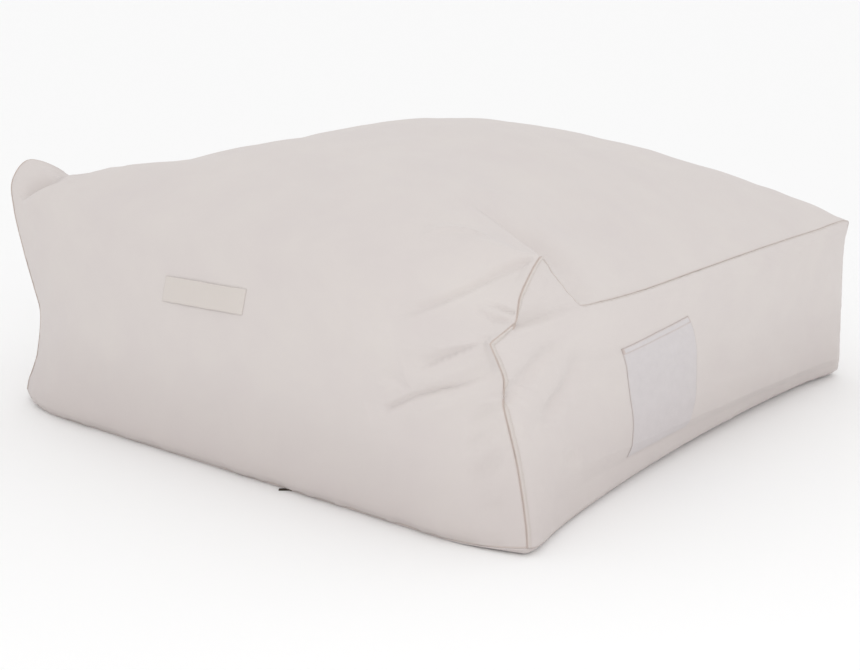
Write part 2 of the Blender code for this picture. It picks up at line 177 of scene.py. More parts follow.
# The folds and creases below are in millimetres, so many to a metre. A fold is a soft trough. Most are the
# part's own, shallower where a crease takes over.
MM = 1000
Fold = namedtuple("Fold", "name start end depth width")
WRAP_FOLDS = [
    Fold("under_shoulder", (603, -665, 353), (450, -690, 285), 12, 22),
    Fold("below_shoulder", (617, -662, 319), (380, -700, 200), 8, 22),
    Fold("ear_to_face", (565, -545, 435), (340, -685, 335), 10, 30),
    Fold("behind_ear", (600, -410, 380), (350, -330, 500), 12, 35),
    Fold("left_ear_hollow", (-610, -565, 495), (-480, -520, 480), 12, 32),
    Fold("left_of_dome", (-580, -560, 485), (-400, -560, 515), 10, 50),
    Fold("left_ear_end", (-606, -566, 492), (-580, -550, 492), -10, 20),
    Fold("left_ear_notch", (-562, -555, 490), (-490, -540, 495), 26, 26),
    Fold("left_notch_tail", (-495, -540, 497), (-425, -505, 508), 6, 40),
    Fold("left_ear_drop", (-600, -526, 482), (-588, -520, 480), 12, 12),
]
END_FOLDS = [
    Fold("tuck_to_dip", (612, -613, 371), (625, -400, 365), 8, 22),
    Fold("upper_drag", (630, -630, 262), (648, -380, 335), 3, 18),
    Fold("lower_drag", (640, -620, 192), (655, -330, 300), 3, 20),
    Fold("left_tuck", (-630, -620, 390), (-630, -420, 365), 16, 20),
]

# A crease runs along a path of points on the cloth. depth: how far it sinks, or rises where negative. upper
# and lower: its width to the side that faces up or back, and to the other. start and end: the shares of its
# length over which it deepens and fades. The places were picked on the photo. About a third of the
# points are as a ray cast onto this cloth gave them, and the rest were moved or set one by one.
Crease = namedtuple("Crease", "name depth upper lower start end path")
WRAP_CREASES = [
    Crease("under_shoulder", 9.8, 12.5, 6.2, 0.08, 0.32, [
        (603, -660, 355), (581, -661, 347), (566, -661, 339), (543, -663, 327), (521, -666, 315),
        (497, -669, 302), (465, -680, 282),
    ]),
    Crease("puff_under_shoulder", -4.5, 10, 11, 0.25, 0.25, [
        (600, -656, 332), (549, -662, 300), (470, -682, 262),
    ]),
    Crease("below_shoulder", 10, 6.4, 3.8, 0.42, 0.14, [
        (613, -652, 306), (596, -654, 297), (577, -654, 287), (548, -661, 272), (504, -672, 256),
        (465, -681, 240), (434, -688, 222), (400, -697, 204),
    ]),
    Crease("puff_below", -4.5, 12, 20, 0.3, 0.3, [(595, -655, 270), (520, -668, 240), (430, -688, 200)]),
    Crease("left_tail", 4.2, 10, 9, 0.3, 0.5, [
        (463, -681, 244), (435, -685, 262), (417, -690, 268), (392, -697, 252),
    ]),
    Crease("ear_to_face", 9.5, 8.5, 7.2, 0.06, 0.42, [
        (580, -512, 459), (556, -533, 444), (544, -552, 436), (526, -587, 422), (504, -613, 408),
        (474, -634, 391), (441, -651, 377), (414, -661, 366), (397, -674, 349),
    ]),
    Crease("gather_high", 6.2, 4.6, 3.4, 0.1, 0.7, [
        (606, -597, 387), (597, -601, 389), (579, -606, 394), (559, -610, 398), (543, -616, 398),
    ]),
    Crease("gather_low", 3.4, 5, 4, 0.1, 0.6, [
        (609, -610, 374), (584, -618, 377), (562, -622, 383), (533, -618, 399),
    ]),
    Crease("gather_mid", 1.8, 5, 5, 0.3, 0.6, [(565, -619, 377), (548, -620, 387), (530, -618, 395)]),
    Crease("gather_puff", -4, 7, 7, 0.05, 0.7, [(600, -600, 382), (570, -608, 388), (540, -618, 386)]),
    Crease("knee_high", 7, 13, 11, 0.45, 0.45, [
        (606, -642, 250), (593, -646, 232), (578, -652, 214), (555, -662, 190),
    ]),
    Crease("knee_low", 6.5, 10, 9, 0.45, 0.45, [
        (610, -637, 216), (595, -641, 200), (575, -652, 182), (545, -664, 156),
    ]),
    Crease("shin_soft", 8, 13, 12, 0.45, 0.45, [
        (618, -634, 174), (602, -640, 156), (580, -652, 128), (550, -668, 98),
    ]),
    Crease("foot_soft", 7.5, 11, 10, 0.45, 0.45, [
        (632, -636, 108), (616, -646, 92), (598, -658, 75), (572, -670, 55),
    ]),
    Crease("dome_front", -7, 18, 5, 0.35, 0.35, [
        (375, -568, 477), (406, -539, 484), (438, -512, 484), (492, -500, 473),
    ]),
    Crease("ear_ridge", 22.5, 40, 8.5, 0.38, 0.6, [
        (560, -398, 398), (505, -385, 432), (470, -402, 453), (430, -408, 472), (380, -405, 490),
        (335, -405, 508),
    ]),
    Crease("left_ear_lip", 25, 28, 6, 0.4, 0.45, [
        (-632, -630, 430), (-596, -622, 450), (-560, -607, 470), (-522, -585, 486),
    ]),
    Crease("left_lip_puff", -5, 14, 20, 0.25, 0.3, [
        (-610, -632, 415), (-570, -628, 440), (-520, -608, 462),
    ]),
    Crease("left_upright", 3.5, 10, 10, 0.1, 0.6, [
        (-500, -590, 480), (-492, -632, 440), (-490, -655, 400),
    ]),
]
END_CREASES = [
    Crease("tuck_to_dip", 10, 23, 2.8, 0.02, 0.75, [
        (613, -620, 369), (615, -600, 368), (616, -574, 367), (618, -528, 368), (620, -484, 372),
        (627, -440, 370),
    ]),
    Crease("tuck_line", 2.2, 6, 2.6, 0.05, 0.15, [
        (613, -620, 368), (616, -574, 366), (618, -528, 367), (620, -484, 370), (627, -440, 370),
        (632, -415, 372),
    ]),
    Crease("under_tuck", 5, 3.6, 3.8, 0.05, 0.6, [
        (614, -640, 363), (618, -626, 365), (625, -586, 366), (631, -523, 358), (639, -476, 350),
    ]),
    Crease("drag_high", 12, 18.5, 16, 0.18, 0.4, [
        (620, -642, 232), (622, -640, 254), (634, -624, 275), (638, -590, 294), (641, -555, 315),
        (642, -518, 336),
    ]),
    Crease("drag_middle", 9.5, 18, 15.5, 0.35, 0.42, [
        (641, -583, 200), (639, -544, 215), (642, -520, 230), (645, -502, 252), (650, -487, 284),
        (651, -478, 320),
    ]),
    Crease("drag_ridge", -6, 12, 12, 0.3, 0.5, [(636, -616, 266), (647, -574, 287), (649, -534, 307)]),
    Crease("drag_low", 4, 12, 12, 0.4, 0.5, [(655, -520, 106), (649, -481, 122), (651, -472, 148)]),
    Crease("knee", 2.2, 7, 7, 0.2, 0.6, [(640, -612, 176), (643, -580, 203), (648, -545, 225)]),
    Crease("far_low", 2.2, 14, 14, 0.4, 0.5, [(650, 120, 110), (652, 260, 150), (648, 400, 220)]),
    Crease("far_high", 1.8, 14, 14, 0.4, 0.5, [(650, 20, 130), (652, 160, 190), (648, 300, 265)]),
]

# How finely a crease's path is cut, how many of its widths it reaches, and how near a seam it may start
PATH_STEPS, PATH_REACH, CREASE_HOLD = 12, 2.6, 0.005

# Faint ripples all over the cloth: how many crossing waves, their lengths, and their height for each length
RIPPLES, RIPPLE_SHORT, RIPPLE_LONG, RIPPLE_SHARE = 9, 0.05, 0.17, 0.0035
WRAP_SEED, END_SEED = 3, 5

# At a seam both cloths roll in: this deep, over this distance. Its dark line, part seam colour and part
# painted shade of the ditch, reaches this far, and is this much fainter on the wrap's left half.
SEAM_DITCH, SEAM_ROLL, SEAM_TINT, LEFT_TINT = 0.0006, 0.0022, 0.0012, 0.25
# The filling's ends lie this far inside the end panels, from this far in, with faces this coarse
CAP_INSET, CAP_REACH, CAP_STEP = 0.008, 0.05, 4
# Small puckers beside the seams: height, reach away from the seam, and spacing along it. They are sums of
# waves: how many to a spacing, where each starts, and its share of the height.
PUCKER, PUCKER_REACH, PUCKER_PITCH = 0.0009, 0.022, 0.024
BASE_PUCKER, BASE_PUCKER_PITCH = 0.0022, 0.062
Wave = namedtuple("Wave", "count start size")
PUCKER_WAVES = [Wave(1.0, 0.4, 0.5), Wave(1.63, 2.1, 0.3), Wave(0.57, 4.0, 0.4)]
# Points nearer than this are one. A height under this is the floor's. The base takes every second row.
WELD, ON_FLOOR, BASE_STEP = 1e-6, 1e-5, 2

SEWN_GAP = 0.0003
# A sewn-on cloth's edge: the share of the thickness that it starts with, and how soon it is full
Edge = namedtuple("Edge", "thin reach")
HANDLE_EDGE, POCKET_EDGE = Edge(0.35, 0.05), Edge(0.4, 0.010)

HANDLE_WIDTH, HANDLE_HEIGHT, HANDLE_THICKNESS = 0.207, 0.045, 0.0018
HANDLE_X, HANDLE_Z, HANDLE_RISE, HANDLE_SLACK = -0.024, 0.336, 0.006, 0.0014
HANDLE_CUTS = 81, 25
POCKET_WIDTH, POCKET_HEIGHT, POCKET_THICKNESS = 0.212, 0.229, 0.0012
POCKET_Y, POCKET_Z, POCKET_HEM, HEM_THICKNESS, HEM_BLEND = -0.222, 0.1770, 0.011, 0.0026, 0.008
POCKET_SKEW, POCKET_TILT, POCKET_BOW, POCKET_LEFT_BOW = 0.066, 0.016, 0.025, 0.018
POCKET_CUTS = 77, 150
# The pocket's sewn lines: half a line's width, how strong the rim, hem and top tacks are, and a tack's width
POCKET_LINE, RIM_TINT, HEM_TINT, TACK_TINT, TACK = 0.0014, 0.6, 0.8, 0.9, 0.005

# The seam band round an end, measured on the cloth: its width at the front corner, at the ear and along the
# seat, how far inside the seam it starts, and how far it stands up in front and along the seat
BAND_FRONT, BAND_EAR, BAND_SEAT, BAND_INSET = 0.0066, 0.0048, 0.0030, 0.0004
BAND_HEIGHT, BAND_SEAT_HEIGHT = 0.0009, 0.0003
# In cuts from the ear's tip: where it starts to narrow, and where it has its width at the ear and at the seat
BAND_NARROWS, BAND_AT_EAR, BAND_AT_SEAT = -30, 6, 24
# Across the band: its cuts, the middle one, and the stitches' one. It starts this far above the cloth, sinks
# this far into it, and is this much thinner at its edges. A groove runs under the stitches.
BAND_CUTS, BAND_MIDDLE, STITCH_CUT = 9, 4, 6
BAND_LIFT, BAND_SINK, BAND_ROUND = 0.0003, 0.0004, 0.6
GROOVE_AT, GROOVE_WIDTH, GROOVE_DEPTH = 0.72, 0.10, 0.45
# How strong the seam's dark line, part seam colour and part painted ditch shade, is at the band's two
# edges, and the share of its width that it fades over
BAND_TINT, BAND_FAR_TINT, BAND_TINT_REACH = 0.6, 0.5, 0.16
# A walk over the cloth from a seam: its step, and how many steps it may take
WALK_STEP, WALK_STEPS = 0.0006, 60
# The sheet call takes no side under 10 mm, so a band's stated width is this, though the band is narrower
STATED_BAND_WIDTH = 0.0101

SLIDER = (0.009, 0.011, 0.0045)
PULL = (0.023, 0.0045, 0.0014)
ZIP_X, ZIP_INSIDE, ZIP_TURN = 0.168, 0.0045, math.radians(218)
ZIP_BEVEL, ZIP_BEVEL_STEPS = 0.0006, 3

# Stitches: thread thickness, length along the seam, spacing. size: the share of the thickness along a stitch.
# Its middle lies this many thicknesses above the band, and this many more where it is full.
THREAD, STITCH, STITCH_PITCH, THREAD_SIDES = 0.0006, 0.0026, 0.0036, 5
Bead = namedtuple("Bead", "along size")
THREAD_PROFILE = [Bead(0.0, 0.15), Bead(0.2, 0.85), Bead(0.5, 1.0), Bead(0.8, 0.85), Bead(1.0, 0.15)]
THREAD_REST, THREAD_RISE = 0.1, 0.6

# The cloths: the two colours that each is mottled between, its thread spacing, and how fine its mottling is
Canvas = namedtuple("Canvas", "name light dark weave mottle")
COTTON = Canvas("canvas", (0.699, 0.653, 0.622), (0.643, 0.589, 0.580), 0.0009, 7.0)
BAND_COTTON = Canvas("band_canvas", (0.665, 0.615, 0.585), (0.61, 0.56, 0.53), 0.0009, 7.0)
STRAP_COTTON = Canvas("strap_canvas", (0.68, 0.63, 0.595), (0.63, 0.58, 0.545), 0.0014, 7.0)
POCKET_COTTON = Canvas("fine_cotton", (0.680, 0.643, 0.648), (0.598, 0.565, 0.570), 0.0006, 48.0)
# The seam lines' colour and strength: partly the darker seams and stitching, partly painted shade in seam
# ditches
SEAM_LINE_AND_DITCH_SHADE_COLOUR, SEAM_LINE_AND_DITCH_SHADE_SHARE = (0.40, 0.235, 0.14), 0.34
# Painted shade: the cloth's colour darkens low down, standing in for the shade near the floor
PAINTED_FLOOR_SHADE_COLOUR, PAINTED_FLOOR_SHADE_SHARE, PAINTED_FLOOR_SHADE_REACH = (0.40, 0.335, 0.325), 0.26, 0.26
# Twisted thread and worn plated metal: a fine noise between two colours, and the shader's other values
Speckle = namedtuple("Speckle", "name scale light dark values")
COTTON_THREAD = Speckle(
    "thread", 900.0, (0.72, 0.67, 0.63), (0.6192, 0.5762, 0.5418), {"Roughness": 0.7, "Sheen Weight": 0.3}
)
ZIP_METAL = Speckle(
    "zip_metal", 420.0, (0.20, 0.16, 0.13), (0.07, 0.055, 0.045), {"Metallic": 0.8, "Roughness": 0.38}
)

# The camera, at the height of someone standing
CAMERA_AT = (1.9153, -2.4757, 0.9982)
CAMERA_AZIMUTH, CAMERA_PITCH = math.radians(38.33), math.radians(15.79)
CAMERA_LENS, CAMERA_SENSOR = 62.17, 36.0
# The studio: an even white room, a weak soft light from the right, and a floor just under the part
WORLD_STRENGTH = 0.99
KEY_AT, KEY_AIM, KEY_SIZE, KEY_ENERGY = (2.1, -2.0, 1.6), (0.6, -0.6, 0.25), (1.4, 1.2), 7.0
FLOOR_HALF, FLOOR_DROP, FLOOR_TONE = 30.0, 0.0005, 0.96

# ---- Outlines and surfaces


def smooth_line(points, steps, turns=None):
    """Points on a smooth curve through the given ones, with steps[i] pieces from point i to the next."""
    points = np.array(points, float)
    lengths = np.sqrt(norm(np.diff(points, axis=0), axis=1))
    at = np.concatenate([[0.0], np.cumsum(lengths)])
    slopes = np.gradient(points, at, axis=0)
    if turns is not None:
        slopes = slopes * np.array(turns)[:, None]
    line = []
    for i, count in enumerate(steps):
        span = at[i + 1] - at[i]
        for t in np.arange(count) / count:
            line.append(
                points[i] * (2 * t**3 - 3 * t**2 + 1)
                + slopes[i] * span * (t**3 - 2 * t**2 + t)
                + points[i + 1] * (3 * t**2 - 2 * t**3)
                + slopes[i + 1] * span * (t**3 - t**2)
            )
    line.append(points[-1])
    return np.array(line)


def base_shares():
    """Shares across the base from front to back, close together near its edges."""
    turn = np.linspace(0.0, math.pi, TOP_STEPS + 1)
    return (1 - np.cos(turn)) / 2


def run_length(edge):
    """How far along its own length each point of an edge lies."""
    return np.concatenate([[0.0], np.cumsum(norm(np.diff(edge, axis=0), axis=1))])


def point_at(distance, run, line):
    """The point, or direction, at a distance along a line whose points lie at run."""
    return np.array([np.interp(distance, run, line[:, axis]) for axis in range(3)])


def end_outline(side, rows):
    """The seam round an end, a closed ring of points: up the front, over, down the back, along the base."""
    places = [
        (side * (HALF_LENGTH - row.inset), row.forward * HALF_DEPTH, row.up * SEAT_HEIGHT) for row in rows
    ]
    edge = smooth_line(places, STEPS, [row.turn for row in rows])
    shares = base_shares()[1:-1][::-1]
    front, back = edge[0], edge[-1]
    base = front + (back - front) * shares[:, None]
    from_corner = np.minimum(shares, 1 - shares) / BASE_CORNER_SHARE
    base[:, 0] -= side * BASE_DRAW_IN * np.sin(math.pi * shares) ** BASE_DRAW_SHAPE
    base[:, 0] += side * BASE_FLARE * from_corner * np.exp(1 - from_corner)
    base[:, 2] = BASE_SEAM_HEIGHT + (base[:, 2] - BASE_SEAM_HEIGHT) * np.exp(-from_corner)
    return np.concatenate([edge, base])


def ring_edges(ring):
    """The four edges of an end's ring: front, top, back and base. Back and base run as front and top do."""
    front = ring[: FRONT_STEPS + 1]
    top = ring[FRONT_STEPS : FRONT_STEPS + TOP_STEPS + 1]
    back = ring[FRONT_STEPS + TOP_STEPS : SIDE_ROWS][::-1]
    base = np.concatenate([ring[SIDE_ROWS - 1 :], ring[:1]])[::-1]
    return front, top, back, base


def middle_outline():
    """The wrap's outline halfway along, and how far in from the end each point of it needs to fill out."""
    places = [(row.forward * HALF_DEPTH, row.rise * CROWN_HEIGHT, row.reach) for row in MIDDLE]
    edge = smooth_line(places, STEPS)
    shares = base_shares()[1:-1][::-1]
    base = edge[0] + (edge[-1] - edge[0]) * shares[:, None]
    return np.concatenate([edge, base])


def clamped(share):
    """A share kept from 0 to 1."""
    return np.clip(share, 0.0, 1.0)


def smoothed(share):
    """A share from 0 to 1 with an even start and end."""
    share = clamped(share)
    return share * share * (3 - 2 * share)


def bell(distance, width):
    """1 at no distance, and next to nothing beyond a few widths."""
    return np.exp(-((distance / width) ** 2))


def nearest_normal(points, normals, place):
    """The normal at the point nearest to a place."""
    away = norm(points - place, axis=-1)
    return normals[np.unravel_index(away.argmin(), away.shape)]


def pressed(points, normals, folds, hold):
    """Points moved in where folds run, each along the normal at its middle. hold, 0 to 1, keeps the seams."""
    moved = points.copy()
    for fold in folds:
        start, end = np.array(fold.start) / MM, np.array(fold.end) / MM
        run = end - start
        along = clamped((points - start) @ run / (run @ run))
        away = norm(points - start - along[..., None] * run, axis=-1)
        depth = fold.depth / MM * (1.0 - along) ** FOLD_FADE * bell(away, fold.width / MM) * hold
        moved -= nearest_normal(points, normals, (start + end) / 2) * depth[..., None]
    return moved


def creased(points, normals, creases, hold):
    """Points moved in along each crease's path, steeper on one side of it than on the other."""
    moved = points.copy()
    for crease in creases:
        path = smooth_line(np.array(crease.path) / MM, [PATH_STEPS] * (len(crease.path) - 1))
        tangents = np.gradient(path, axis=0)
        tangents /= norm(tangents, axis=1, keepdims=True)
        share = run_length(path) / run_length(path)[-1]
        reach = PATH_REACH * max(crease.upper, crease.lower) / MM
        near = ((points > path.min(axis=0) - reach) & (points < path.max(axis=0) + reach)).all(axis=-1)
        close = points[near]
        if not len(close):
            continue
        away = norm(close[:, None] - path[None], axis=-1)
        nearest = away.argmin(axis=1)
        along = smoothed(share[nearest] / crease.start) * smoothed((1.0 - share[nearest]) / crease.end)
        outward = nearest_normal(points, normals, path[len(path) // 2])
        across = np.cross(outward, tangents)
        across *= np.sign(across[:, 1:].sum(axis=1, keepdims=True))
        above = ((close - path[nearest]) * across[nearest]).sum(axis=1)
        width = np.where(above > 0, crease.upper, crease.lower) / MM
        depth = crease.depth / MM * along * bell(away.min(axis=1), width) * hold[near]
        moved[near] -= outward * depth[:, None]
    return moved


def rippled(points, normals, hold, seed):
    """Points moved by a few faint crossing waves."""
    random = np.random.RandomState(seed)
    height = np.zeros(points.shape[:2])
    for _ in range(RIPPLES):
        heading = random.normal(size=3)
        heading /= norm(heading)
        long = random.uniform(RIPPLE_SHORT, RIPPLE_LONG)
        turn = random.uniform(0.0, math.tau)
        height += RIPPLE_SHARE * long * np.sin(math.tau * (points @ heading) / long + turn)
    return points + normals * (height * hold)[..., None]


def grid_normals(grid):
    """Unit normals of a grid of points."""
    normals = np.cross(np.gradient(grid, axis=0), np.gradient(grid, axis=1))
    return normals / norm(normals, axis=-1, keepdims=True)


def outward_normals(grid, centre):
    """Unit normals of a grid, turned away from a centre."""
    normals = grid_normals(grid)
    return normals * np.sign(((grid - centre) * normals).sum(axis=-1).mean())


def station_distances():
    """Distances of the wrap's cuts from its right end."""
    cuts = [0.0]
    for run in RUNS:
        count = round((run.to - cuts[-1]) / run.spacing)
        cuts += list(np.linspace(cuts[-1], run.to, count + 1)[1:])
    return np.array(cuts)


def flatten_underside(grid):
    """Lays the underside a cloth's thickness above the floor. Only its rim curves up to the base seam."""
    flat = CLOTH + GAP
    under = grid[:, SIDE_ROWS:]
    in_x = np.minimum(grid[-1:, SIDE_ROWS:, 0] - under[..., 0], under[..., 0] - grid[:1, SIDE_ROWS:, 0])
    in_y = np.minimum(under[..., 1] - grid[:, :1, 1], grid[:, SIDE_ROWS - 1 : SIDE_ROWS, 1] - under[..., 1])
    rim = clamped(1.0 - np.minimum(in_x, in_y) / FLOOR_RIM) ** 2
    under[..., 2] = flat + (under[..., 2] - flat) * rim
    return grid


def wrap_grid():
    """The filled wrap's surface, as stations along X by points round it, and each station's distance in."""
    middle = middle_outline()
    rings = {1: end_outline(1, RIGHT_SEAM), -1: end_outline(-1, LEFT_SEAM)}
    shares = 1.0 - station_distances()[::-1] / HALF_LENGTH
    grid = []
    for share in shares:
        side = 1 if share > 0 else -1
        seam = rings[side] - np.array([side * (CLOTH + GAP), 0.0, 0.0])
        depth = (1.0 - abs(share)) * HALF_LENGTH
        filled = 1.0 - (1.0 - clamped(depth / middle[:, 2])) ** WRAP_FULLNESS
        ring = seam.copy()
        ring[:, 0] *= abs(share)
        ring[:, 1:] += (middle[:, :2] - seam[:, 1:]) * filled[:, None]
        grid.append(ring)
    grid = np.array(grid)
    depths = (1.0 - np.abs(shares)) * HALF_LENGTH
    hold = clamped(depths / FOLD_HOLD)[:, None] * np.ones(grid.shape[1])
    hold[:, SIDE_ROWS - 1 :] = 0.0
    hold[:, 0] = 0.0
    grid = pressed(grid, grid_normals(grid), WRAP_FOLDS, hold)
    tight = clamped(depths / CREASE_HOLD)[:, None] * (hold > 0)
    grid = creased(grid, grid_normals(grid), WRAP_CREASES, tight)
    grid = rippled(grid, grid_normals(grid), hold, WRAP_SEED)
    return flatten_underside(grid), depths


def softened(edge):
    """An edge with its small kinks smoothed away and its two ends kept."""
    soft = edge.copy()
    for _ in range(KINK_ROUNDS):
        soft[1:-1] += (soft[:-2] + soft[2:] - 2 * soft[1:-1]) / 4
    return soft


def place_on_cloth(grid):
    """Where each point of a grid lies on its cloth, in metres along and across it."""
    along = norm(np.diff(grid, axis=0), axis=-1).cumsum(axis=0)
    across = norm(np.diff(grid, axis=1), axis=-1).cumsum(axis=1)
    along = np.concatenate([np.zeros((1, grid.shape[1])), along])
    across = np.concatenate([np.zeros((grid.shape[0], 1)), across], axis=1)
    return np.stack([along, across, np.zeros_like(along)], axis=-1)


def distance_from_edge(grid):
    """How far each point of a grid lies from its nearest edge, and how far along that edge."""
    place = place_on_cloth(grid)
    along = np.minimum(place[..., 0], place[-1:, :, 0] - place[..., 0])
    across = np.minimum(place[..., 1], place[:, -1:, 1] - place[..., 1])
    return np.minimum(along, across), np.where(along < across, place[..., 1], place[..., 0])


def refined(grid, times):
    """A grid with more columns, evenly spread between its own."""
    last = grid.shape[1] - 1
    at = np.linspace(0.0, last, last * times + 1)
    low = np.minimum(at.astype(int), last - 1)
    share = (at - low)[None, :, None]
    return grid[:, low] * (1 - share) + grid[:, low + 1] * share


def end_grid(side, rows, finer=1):
    """An end panel's outer surface: a patch between its four edges, bellied out between them."""
    front, top, back, base = ring_edges(end_outline(side, rows))
    u, v = (
        (run_length(a) / run_length(a)[-1] + run_length(b) / run_length(b)[-1]) / 2
        for a, b in ((top, base), (front, back))
    )
    u, v = u[:, None, None], v[None, :, None]
    plain_front, plain_top = softened(front), softened(top)
    patch = (1 - u) * plain_front[None] + u * back[None] + (1 - v) * base[:, None] + v * plain_top[:, None]
    patch -= (1 - u) * (1 - v) * front[0] + (1 - u) * v * front[-1] + u * (1 - v) * back[0] + u * v * back[-1]
    fullness = END_FRONT_FULLNESS + (END_FULLNESS - END_FRONT_FULLNESS) * u
    belly = (4 * u * (1 - u)) ** fullness * (4 * v * (1 - v)) ** END_FULLNESS
    patch[..., 0] += side * END_BULGE * belly[..., 0]
    place = place_on_cloth(patch)
    patch += (front - plain_front)[None] * np.exp(-place[..., :1] / KINK_REACH)
    patch += (top - plain_top)[:, None] * np.exp((place[..., 1:2] - place[:, -1:, 1:2]) / KINK_REACH)
    from_edge = np.minimum(np.minimum(u, 1 - u), np.minimum(v, 1 - v))
    patch, from_edge = refined(patch, finer), refined(from_edge, finer)[..., 0]
    hold = clamped(from_edge / FOLD_HOLD_SHARE)
    outward = np.zeros_like(patch)
    outward[..., 0] = side
    patch = pressed(patch, outward, END_FOLDS, hold)
    tight = clamped(distance_from_edge(patch)[0] / CREASE_HOLD)
    patch = creased(patch, outward, END_CREASES, tight)
    return rippled(patch, outward, tight, END_SEED)

# ---- Mesh helpers


def quads(rows, columns, first=0, ring=False):
    """Faces of a grid, its points numbered row by row from first. A ring's columns close on themselves."""
    i, j = np.meshgrid(np.arange(rows - 1), np.arange(columns if ring else columns - 1), indexing="ij")
    i, j = i.ravel(), j.ravel()
    k = (j + 1) % columns
    here, above = first + i * columns, first + (i + 1) * columns
    return np.stack([here + j, above + j, above + k, here + k], axis=1).tolist()


def placed(name, data):
    """A new object in the scene."""
    made = bpy.data.objects.new(name, data)
    bpy.context.scene.collection.objects.link(made)
    return made


def finished(work, mesh, finish):
    """A smooth piece of one finish, named as its mesh. The bmesh it comes from is freed."""
    work.to_mesh(mesh)
    work.free()
    mesh.materials.append(finish)
    mesh.shade_smooth()
    return placed(mesh.name, mesh)


def add_mesh(name, points, faces, finish, cloth=None, seam=None, weld=False):
    """A smooth mesh piece. cloth: each point's place on its cloth. seam: how near a seam it is, 0 to 1."""
    mesh = bpy.data.meshes.new(name)
    mesh.from_pydata(np.asarray(points).tolist(), [], faces)
    stored = ("cloth", "FLOAT_VECTOR", "vector", cloth), ("seam", "FLOAT", "value", seam)
    for attribute, kind, field, values in stored:
        if values is not None:
            layer = mesh.attributes.new(attribute, kind, "POINT")
            layer.data.foreach_set(field, np.asarray(values, np.float32).ravel())
    work = bmesh.new()
    work.from_mesh(mesh)
    if weld:
        bmesh.ops.remove_doubles(work, verts=work.verts, dist=WELD)
        loose = [v for v in work.verts if not v.link_faces]
        bmesh.ops.delete(work, geom=loose, context="VERTS")
    bmesh.ops.recalc_face_normals(work, faces=work.faces)
    return finished(work, mesh, finish)


def two_sided(name, outer, inner, finish, seam=None):
    """A closed sheet between two grids of the same size."""
    rows, columns = outer.shape[:2]
    count = rows * columns
    faces = quads(rows, columns) + quads(rows, columns, count)
    number = np.arange(count).reshape(rows, columns)
    rim = np.concatenate([number[0], number[1:, -1], number[-1, -2::-1], number[-2:0:-1, 0]]).tolist()
    faces += [(a, b, b + count, a + count) for a, b in zip(rim, rim[1:] + rim[:1])]
    cloth = place_on_cloth(outer).reshape(-1, 3)
    points = np.concatenate([outer.reshape(-1, 3), inner.reshape(-1, 3)])
    if seam is not None:
        seam = np.concatenate([seam.ravel(), seam.ravel()])
    return add_mesh(name, points, faces, finish, cloth=np.concatenate([cloth, cloth]), seam=seam)


def grid_area(grid):
    """The area of a grid of points."""
    across = grid[1:, 1:] - grid[:-1, :-1], grid[1:, :-1] - grid[:-1, 1:]
    return float(norm(np.cross(*across), axis=-1).sum() / 2)


def cap_faces(rows, columns, first, step):
    """Coarse faces over a fine grid's points. Those at its edge keep every fine point there, so it closes."""
    faces = []
    for i in range(0, rows - 1, step):
        for j in range(0, columns - 1, step):
            i2, j2 = min(i + step, rows - 1), min(j + step, columns - 1)
            loop = [(a, j) for a in (range(i, i2) if j == 0 else (i,))]
            loop += [(i2, b) for b in (range(j, j2) if i2 == rows - 1 else (j,))]
            loop += [(a, j2) for a in (range(i2, i, -1) if j2 == columns - 1 else (i2,))]
            loop += [(i, b) for b in (range(j2, j, -1) if i == 0 else (j2,))]
            faces.append([first + a * columns + b for a, b in loop])
    return faces

# ---- Materials


def new_material(name):
    """A new material with its node tree and its main shader."""
    made = bpy.data.materials.new(name)
    made.use_nodes = True
    tree = made.node_tree
    return made, tree, tree.nodes["Principled BSDF"]


def fill(tree, node, values):
    """Fills a node's sockets, by name or number, each with a value or with the output that feeds it."""
    for socket, value in values.items():
        if isinstance(value, bpy.types.NodeSocket):
            tree.links.new(value, node.inputs[socket])
        else:
            node.inputs[socket].default_value = value


def add_node(tree, kind, values):
    """A new shader node, its sockets filled."""
    node = tree.nodes.new("ShaderNode" + kind)
    fill(tree, node, values)
    return node


def add_math(tree, operation, *values):
    """The result of a math node."""
    node = add_node(tree, "Math", dict(enumerate(values)))
    node.operation = operation
    return node.outputs[0]


def add_mix(tree, share, first, second):
    """A colour between two others."""
    node = tree.nodes.new("ShaderNodeMix")
    node.data_type = "RGBA"
    fill(tree, node, {0: share, 6: first, 7: second})
    return node.outputs[2]


def add_attribute(tree, name):
    """The node that reads a value stored on the mesh."""
    node = tree.nodes.new("ShaderNodeAttribute")
    node.attribute_name = name
    return node


